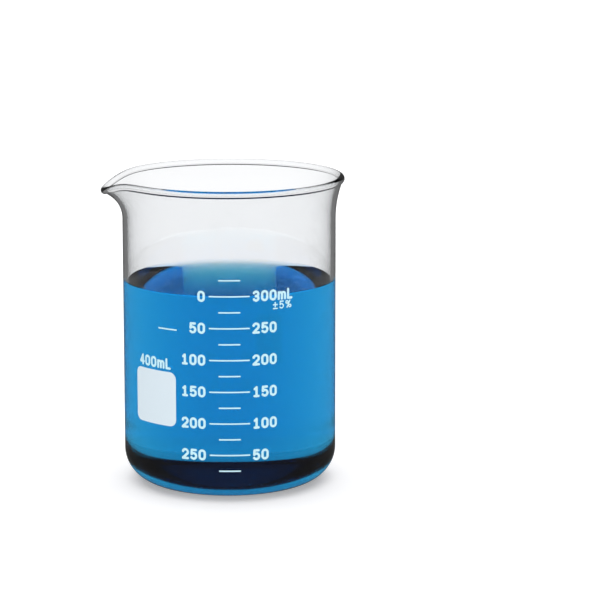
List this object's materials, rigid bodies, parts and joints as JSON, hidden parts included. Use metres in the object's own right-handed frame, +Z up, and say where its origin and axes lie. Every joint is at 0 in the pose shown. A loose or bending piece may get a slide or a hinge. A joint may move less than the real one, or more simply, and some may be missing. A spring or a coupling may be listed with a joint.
{
  "type": "laboratory beaker",
  "caption": "Low-form glass beaker with flared, beaded rim, pouring spout, enamel scale and marking spot, part filled with blue solution.",
  "frame": {"origin": "on the vessel's axis, in the plane its base stands on", "axes": "+Z up along the vessel's axis; the scale faces -Y and the spout points to -X"},
  "size_m": [0.0879, 0.0834, 0.1119],
  "materials": {
    "borosilicate_glass": "clear, fire polished",
    "blue_solution": "clear blue liquid",
    "scale_enamel": "fired white enamel print, satin",
    "marking_enamel": "fired white enamel panel, matt for writing"
  },
  "bodies": {
    "root": {"blue_solution": "blue_solution", "capacity_label": "scale_enamel", "contents_050": "scale_enamel", "contents_100": "scale_enamel", "contents_150": "scale_enamel", "contents_200": "scale_enamel", "contents_250": "scale_enamel", "contents_300": "scale_enamel", "glass_vessel": "borosilicate_glass", "graduation_025": "scale_enamel", "graduation_050": "scale_enamel", "graduation_075": "scale_enamel", "graduation_100": "scale_enamel", "graduation_125": "scale_enamel", "graduation_150": "scale_enamel", "graduation_175": "scale_enamel", "graduation_200": "scale_enamel", "graduation_225": "scale_enamel", "graduation_250": "scale_enamel", "graduation_275": "scale_enamel", "graduation_300": "scale_enamel", "graduation_325": "scale_enamel", "marking_spot": "marking_enamel", "poured_000": "scale_enamel", "poured_050": "scale_enamel", "poured_100": "scale_enamel", "poured_150": "scale_enamel", "poured_200": "scale_enamel", "poured_250": "scale_enamel", "register_dash": "scale_enamel", "tolerance_mark": "scale_enamel"}
  },
  "joints": []
}
